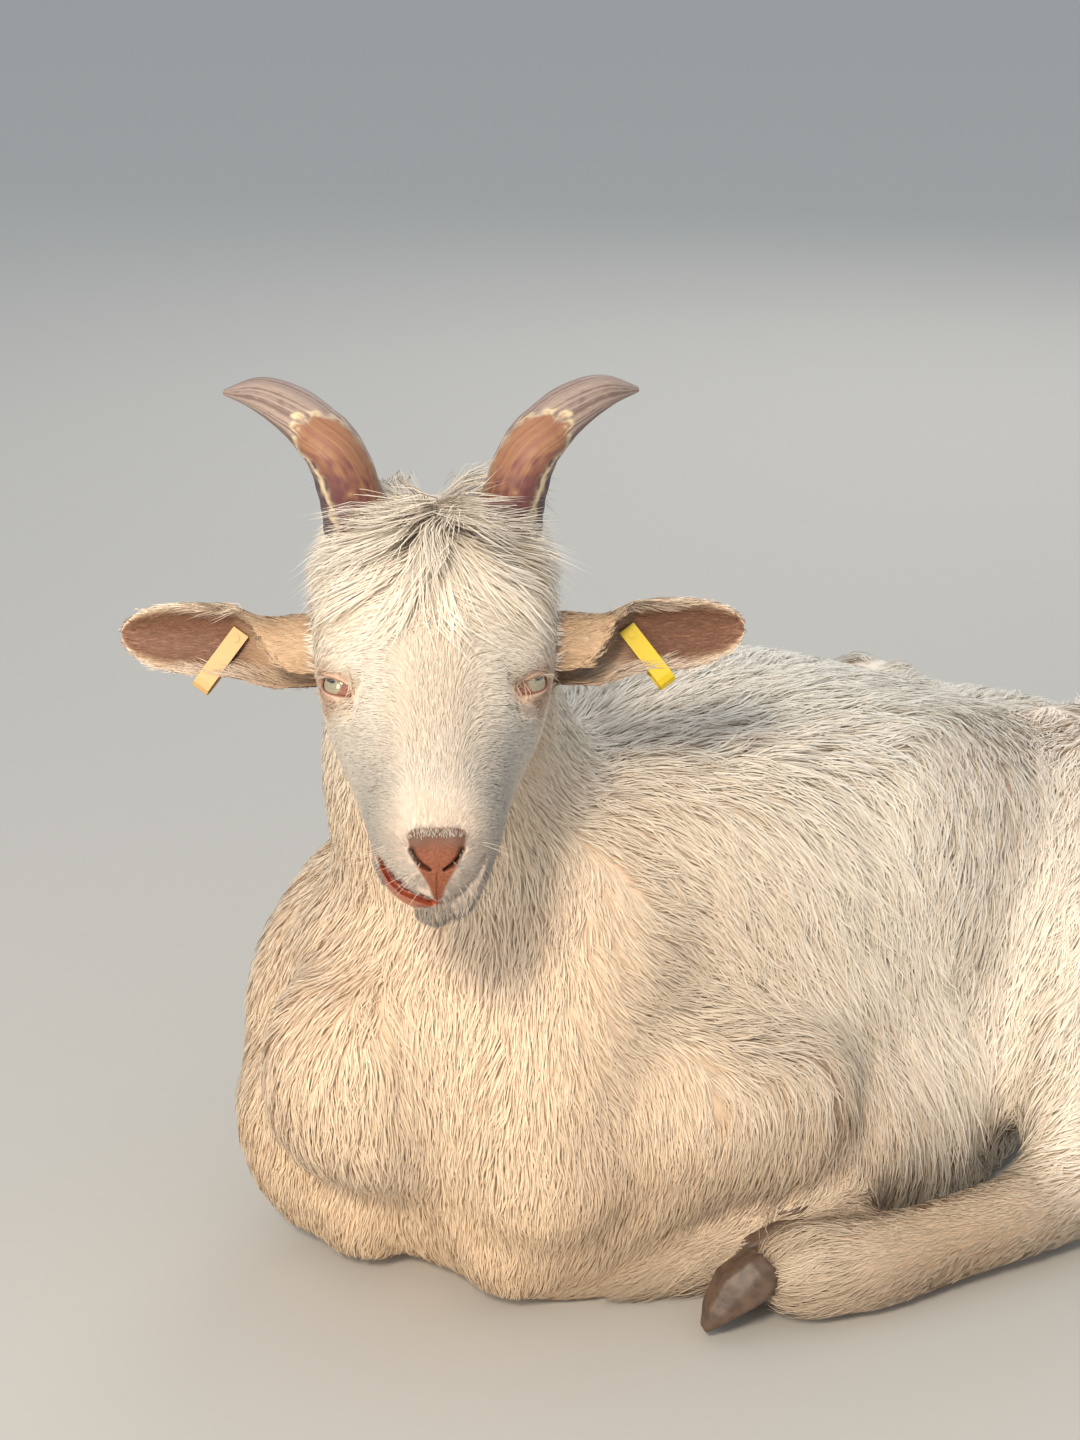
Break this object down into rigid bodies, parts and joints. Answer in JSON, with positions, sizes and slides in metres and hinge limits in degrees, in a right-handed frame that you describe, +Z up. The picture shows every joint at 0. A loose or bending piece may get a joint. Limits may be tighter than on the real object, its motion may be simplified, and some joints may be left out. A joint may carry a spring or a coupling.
{
  "type": "goat",
  "caption": "Life-size still model of a young cream-white horned goat lying with folded legs, its head turned to its left, with a plastic tag in each ear.",
  "frame": {"origin": "middle of the bounding box's base, on the ground under the trunk", "axes": "+Z up; -Y the way the trunk faces, from rump to breast; +X to the goat's left. The head is turned half round towards +X"},
  "size_m": [0.5376, 0.9178, 0.5751],
  "materials": {
    "coat": "long soft cream-white hair, short on the face and legs",
    "horn": "ribbed, flaky horn, satin",
    "hoof": "dull dark horn",
    "eye": "moist, glossy",
    "tag_yellow": "semi-gloss",
    "tag_faded": "faded, matt"
  },
  "bodies": {
    "root": {"claw_fore_left_inner": "hoof", "claw_fore_left_outer": "hoof", "claw_fore_right_inner": "hoof", "claw_fore_right_outer": "hoof", "claw_hind_left_inner": "hoof", "claw_hind_left_outer": "hoof", "claw_hind_right_inner": "hoof", "claw_hind_right_outer": "hoof", "ear_left": "coat", "ear_right": "coat", "ear_tag_left": "tag_yellow", "ear_tag_right": "tag_faded", "eye_left": "eye", "eye_right": "eye", "fore_cannon_left": "coat", "fore_cannon_right": "coat", "foreleg_left": "coat", "foreleg_right": "coat", "head": "coat", "hind_cannon_left": "coat", "hind_cannon_right": "coat", "hindleg_left": "coat", "hindleg_right": "coat", "horn_left": "horn", "horn_right": "horn", "neck": "coat", "tail": "coat", "trunk": "coat"}
  },
  "joints": []
}
